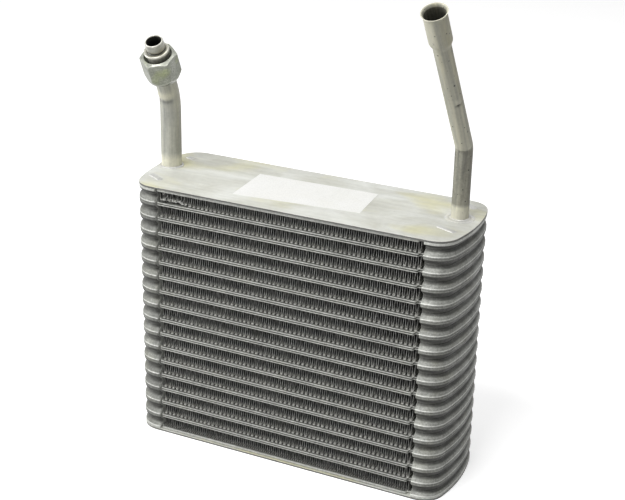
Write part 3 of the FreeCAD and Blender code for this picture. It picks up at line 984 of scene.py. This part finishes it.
def make_suction_pipe():
    """Wide pipe with its foot, bend, collar, undercut and pilot, hollow all the way."""
    wall = 1.2 * MM
    collar = 9.65 * MM
    pilot = 7.0 * MM
    bore = 5.7 * MM
    back = suction.past_elbow(45.0 * MM)
    face = suction.past_elbow(47.2 * MM)
    pipe = PipeSkin(suction)
    pipe.add_outside(back - 0.6 * MM, SUCTION_RADIUS, 0.46, 0.58, suction_crease)
    # Painted shade under the collar, in the undercut and down the bore, and painted highlight on the collar's
    # edge and the pilot's mouth
    pipe.add_rows(back, (
        (-0.15, SUCTION_RADIUS + 0.15 * MM, 0.2), (0.0, SUCTION_RADIUS + 0.5 * MM, 0.2),
        (0.2, collar - 0.4 * MM, 0.4), (0.45, collar - 0.08 * MM, 0.6), (0.7, collar, 0.7),
    ))
    pipe.add_rows(face, (
        (-1.1, collar, 0.7), (-0.65, collar - 0.1 * MM, 0.8), (-0.3, collar - 0.35 * MM, 0.9),
        (-0.08, collar - 0.75 * MM, 0.8), (0.0, collar - 1.2 * MM, 0.6), (0.0, pilot + 0.5 * MM, 0.35),
        (-0.15, pilot - 0.1 * MM, 0.1), (0.15, pilot - 0.5 * MM, 0.05), (0.8, pilot - 0.5 * MM, 0.2),
        (1.2, pilot - 0.15 * MM, 0.5), (1.7, pilot, 0.6),
    ))
    pipe.add_rows(suction.end, (
        (-1.6, pilot, 0.6), (-0.7, pilot - 0.08 * MM, 0.7), (-0.2, pilot - 0.3 * MM, 0.9),
        (0.0, pilot - 0.6 * MM, 1.0), (0.0, bore + 0.4 * MM, 1.0), (-0.2, bore + 0.15 * MM, 0.6),
        (-0.7, bore, 0.05),
    ))
    pipe.add(face, bore, 0.0)
    pipe.add(back, SUCTION_RADIUS - wall, 0.0)
    pipe.add_bore(back, SUCTION_RADIUS - wall)
    return pipe.finish("suction_tube", sharp=50.0)


def make_foot(line, rows):
    """The raised metal of the plate and the braze round a pipe's foot.

    Each row gives a radius and a height above the plate in mm, and the share of painted light and
    wear there: darker in the grooves, painted shade, and lighter on the raised rings.
    """
    top = line.foot.z + PLATE_THICKNESS
    loops = []
    for radius, height, _ in rows:
        level = top + height * MM
        loops.append([Vector((x, y, level)) for x, y in circle(line.foot.x, line.foot.y, radius * MM)])
    return skin(loops, [share for _, _, share in rows], ring=True)


def make_tab(start, end):
    """A stamped tab: a low tongue that rises from the plate to a steep side."""
    height = 1.0 * MM
    ramp = 0.12
    section = ((-3.2, -0.1), (-3.2, 0.0), (-1.0, 0.25), (1.0, 0.65), (1.4, 0.55), (1.8, 0.0), (1.8, -0.1))
    first = Vector((start[0] * MM, start[1] * MM, CORE_TOP))
    along = Vector((end[0] * MM, end[1] * MM, CORE_TOP)) - first
    across = along.normalized().cross(Vector((0.0, 0.0, 1.0)))
    loops = []
    for share in (0.0, 0.04, ramp, 0.5, 1.0 - ramp, 0.96, 1.0):
        rise = height * min(1.0, min(share, 1.0 - share) / ramp)
        loops.append([
            first + along * share + across * (y * MM) + Vector((0.0, 0.0, rise * z if z > 0 else z * MM))
            for y, z in section
        ])
    return skin(loops)


make_flat_plate("bottom_plate", "bottom_end_plate", [])
make_flat_plate("top_plate", "top_end_plate", [
    (liquid.foot.x, liquid.foot.y, 6.45 * MM),
    (suction.foot.x, suction.foot.y, 8.04 * MM),
])
feet = make_mesh("pipe_feet", [
    make_foot(liquid, [
        (6.40, -0.6, 0.3), (6.40, 1.10, 0.4), (6.62, 0.95, 0.6), (7.00, 0.62, 0.6), (7.50, 0.42, 0.3),
        (8.10, 0.42, 0.3), (8.80, 0.55, 0.6), (9.60, 0.50, 0.7), (10.30, 0.28, 0.6), (11.00, 0.06, 0.4),
        (11.30, -0.05, 0.3), (11.30, -0.6, 0.3),
    ]),
    make_foot(suction, [
        (7.98, -0.6, 0.3), (7.98, 0.80, 0.4), (8.20, 0.62, 0.5), (8.50, 0.45, 0.3), (8.75, 0.50, 0.5),
        (9.00, 0.60, 0.7), (9.25, 0.50, 0.6), (9.45, 0.20, 0.4), (9.60, -0.05, 0.3), (9.60, -0.6, 0.3),
    ]),
], sharp=60.0)
add_piece("pipe_feet", feet, [foot_metal])

tabs = make_mesh("stamped_tabs", [
    make_tab((119.2, 28.5), (110.0, 34.9)), make_tab((106.2, -16.0), (121.8, -22.2)),
    make_tab((-120.3, 27.1), (-111.2, 24.0)), make_tab((-124.9, -20.5), (-111.3, -28.2)),
])
add_piece("stamped_tabs", tabs, [foot_metal])

add_piece("liquid_tube", make_liquid_pipe(), [liquid_metal], "liquid_pipe")
suction_mesh = make_suction_pipe()
machined_centre, machined_direction = suction.frame_at(suction.past_elbow(44.5 * MM))
for face in suction_mesh.polygons:
    if (face.center - machined_centre).dot(machined_direction) > 0:
        face.material_index = 1
add_piece("suction_tube", suction_mesh, [suction_metal, machined_metal], "suction_pipe")


# Swivel nut

def make_nut():
    """Hexagonal nut with cone-cut corners, a threaded bore and a shoulder behind."""
    flats = 12.5 * MM
    face_at = 42.3 * MM
    back_at = face_at - 21.6 * MM
    face_radius = 11.2 * MM
    back_radius = 11.7 * MM
    sharp_corner = flats / math.cos(math.radians(30.0))
    corner = sharp_corner - 0.12 * MM
    face_slope = 1.6 * MM / (sharp_corner - face_radius)
    back_slope = 4.8 * MM / (sharp_corner - back_radius)
    turn = math.radians(19.5)
    facet = math.radians(60.0)
    count = 120
    crest = 10.15 * MM
    root = 11.0 * MM
    hole = 8.24 * MM
    pitch = 1.8 * MM
    shoulder = back_at + 6.0 * MM
    gauge = 30.0 * MM
    direction = suction.frame_at(suction.end)[1]
    elbow = suction.frame_at(suction.past_elbow(gauge))[0] - direction * gauge
    side = suction.swing @ Vector((1.0, 0.0, 0.0))
    up = direction.cross(side)
    angles = [turn + math.tau * index / count for index in range(count)]
    edge = [min(corner, flats / math.cos((angle - turn) % facet - facet / 2)) for angle in angles]
    loops = []
    bare = []

    def add(distance, radius, share):
        """Add a loop; distance and radius may be one number or one for each point."""
        distances = distance if isinstance(distance, list) else [distance] * count
        radii = radius if isinstance(radius, list) else [radius] * count
        loop = []
        for angle, along, size in zip(angles, distances, radii):
            across = side * math.cos(angle) + up * math.sin(angle)
            loop.append(elbow + direction * along + across * size)
        loops.append(loop)
        bare.append(share)

    back_cone = [back_at + back_slope * max(0.0, size - back_radius) for size in edge]
    face_cone = [face_at - face_slope * max(0.0, size - face_radius) for size in edge]
    # Shares of painted light and wear: the bore and the threads' roots are painted dark as shade, the cones'
    # edges lighter as painted highlight
    add(back_at, back_radius - 0.4 * MM, 0.4)
    add(back_at + 0.1 * MM, back_radius, 0.7)
    for share in (0.35, 0.7):
        radii = [between(back_radius, size, share) for size in edge]
        add([back_at + back_slope * (size - back_radius) for size in radii], radii, 0.45)
    add(back_cone, edge, 0.7)
    for share in (0.06, 0.35, 0.65, 0.94):
        add([between(low, high, share) for low, high in zip(back_cone, face_cone)], edge, 0.5)
    add(face_cone, edge, 0.6)
    radii = [between(face_radius, size, 0.5) for size in edge]
    add([face_at - face_slope * (size - face_radius) for size in radii], radii, 0.5)
    add(face_at, face_radius, 0.55)
    add(face_at, crest + 0.55 * MM, 0.5)
    add(face_at - 0.2 * MM, crest + 0.3 * MM, 0.3)
    add(face_at - 1.0 * MM, crest, 0.0)
    depth = face_at - 1.2 * MM
    while depth - pitch > shoulder + 0.5 * MM:
        add(depth, crest, 0.35)
        add(depth - pitch * 0.2, crest, 0.35)
        add(depth - pitch * 0.55, root, 0.0)
        add(depth - pitch * 0.65, root, 0.0)
        depth -= pitch
    add(shoulder, crest, 0.1)
    add(shoulder, hole, 0.1)
    add(back_at + 0.3 * MM, hole, 0.1)
    add(back_at, hole + 0.3 * MM, 0.3)
    return make_mesh("nut_hexagon", [skin(loops, bare, ring=True)], sharp=24.0)


add_piece("nut_hexagon", make_nut(), [zinc_metal], "swivel_nut", body="nut")


# Blank label

def make_label():
    """The blank paper label that lies on the top plate."""
    corners = [(-51.5, 19.8), (45.2, 22.6), (48.8, -19.2), (-49.5, -28.4)]
    thickness = 0.12 * MM
    steps = 12
    loops = []
    for level in (CORE_TOP, CORE_TOP + thickness):
        loop = []
        for (x, y), (next_x, next_y) in zip(corners, corners[1:] + corners[:1]):
            for step in range(steps):
                share = step / steps
                loop.append(Vector((between(x, next_x, share) * MM, between(y, next_y, share) * MM, level)))
        loops.append(loop)
    return make_mesh("blank_label", [skin(loops)])


add_piece("blank_label", make_label(), [label_paper])


# Studio

def seen_directly(tree):
    """1 where the camera sees a surface, also in metal or through glass, and 0 for its light."""
    path = add_node(tree, "ShaderNodeLightPath").outputs
    seen = add_math(tree, "MAXIMUM", path["Is Camera Ray"], path["Is Glossy Ray"])
    return add_math(tree, "MAXIMUM", seen, path["Is Transmission Ray"])


def make_floor():
    """A pale floor that looks white and keeps the object's shadow."""
    in_light = colour(0.35, 0.35, 0.35)
    in_view = colour(0.85, 0.85, 0.85)
    material, tree, shader = new_material("Studio floor", Roughness=0.9, Emission_Color=colour(1.0, 1.0, 1.0))
    seen = seen_directly(tree)
    tree.links.new(add_mix(tree, seen, in_light, in_view), shader.inputs["Base Color"])
    tree.links.new(add_math(tree, "MULTIPLY", seen, 0.5), shader.inputs["Emission Strength"])
    size = 4.0
    level = -0.1 * MM
    corners = [(-size, -size, level), (size, -size, level), (size, size, level), (-size, size, level)]
    mesh = bpy.data.meshes.new("floor")
    mesh.from_pydata(corners, [], [(0, 1, 2, 3)])
    mesh.materials.append(material)
    add_object("floor", mesh)


def make_world():
    """White where it is seen, and a soft low light on the object."""
    soft = 0.18
    world = bpy.data.worlds.new("Studio")
    bpy.context.scene.world = world
    world.use_nodes = True
    tree = world.node_tree
    shader = tree.nodes["Background"]
    shader.inputs["Color"].default_value = colour(1.0, 1.0, 1.0)
    strength = add_math(tree, "MULTIPLY_ADD", seen_directly(tree), 1.0 - soft, soft)
    tree.links.new(strength, shader.inputs["Strength"])


def add_lamp(name, place, target, size, power):
    """A soft rectangular lamp aimed at a point."""
    lamp = bpy.data.lights.new(name, "AREA")
    lamp.shape = "RECTANGLE"
    lamp.size = size[0]
    lamp.size_y = size[1]
    lamp.energy = power
    holder = add_object(name, lamp)
    holder.location = place
    holder.rotation_euler = (Vector(target) - Vector(place)).to_track_quat("-Z", "Y").to_euler()


def add_camera():
    """A camera at the photograph's place and angle, from a fit to the core's edges."""
    azimuth, elevation, roll = (math.radians(angle) for angle in (25.141, 22.826, 1.225))
    place = Vector((0.41044, -0.86776, 0.56559))
    focal_pixels = 1389.817
    photo_width = 625.0
    flat = math.cos(elevation)
    back = Vector((math.sin(azimuth) * flat, -math.cos(azimuth) * flat, math.sin(elevation)))
    right = Vector((0.0, 0.0, 1.0)).cross(back).normalized()
    up = back.cross(right)
    lens = bpy.data.cameras.new("camera")
    lens.sensor_width = 36.0
    lens.lens = focal_pixels * lens.sensor_width / photo_width
    camera = add_object("camera", lens)
    turn = Matrix((right, up, back)).transposed() @ Matrix.Rotation(roll, 3, "Z")
    camera.matrix_world = Matrix.Translation(place) @ turn.to_4x4()
    bpy.context.scene.camera = camera


make_floor()
make_world()
add_lamp("key_lamp", (-0.25, -1.17, 2.0), (0.0, 0.0, 0.15), (1.0, 0.7), 28.5)
add_lamp("top_lamp", (0.1, 0.1, 2.4), (0.0, 0.0, 0.15), (1.2, 1.2), 18.0)
add_lamp("left_lamp", (-1.9, -1.0, 0.9), (0.0, 0.0, 0.15), (0.8, 1.0), 27.0)
add_camera()
bpy.context.scene.view_settings.view_transform = "Standard"
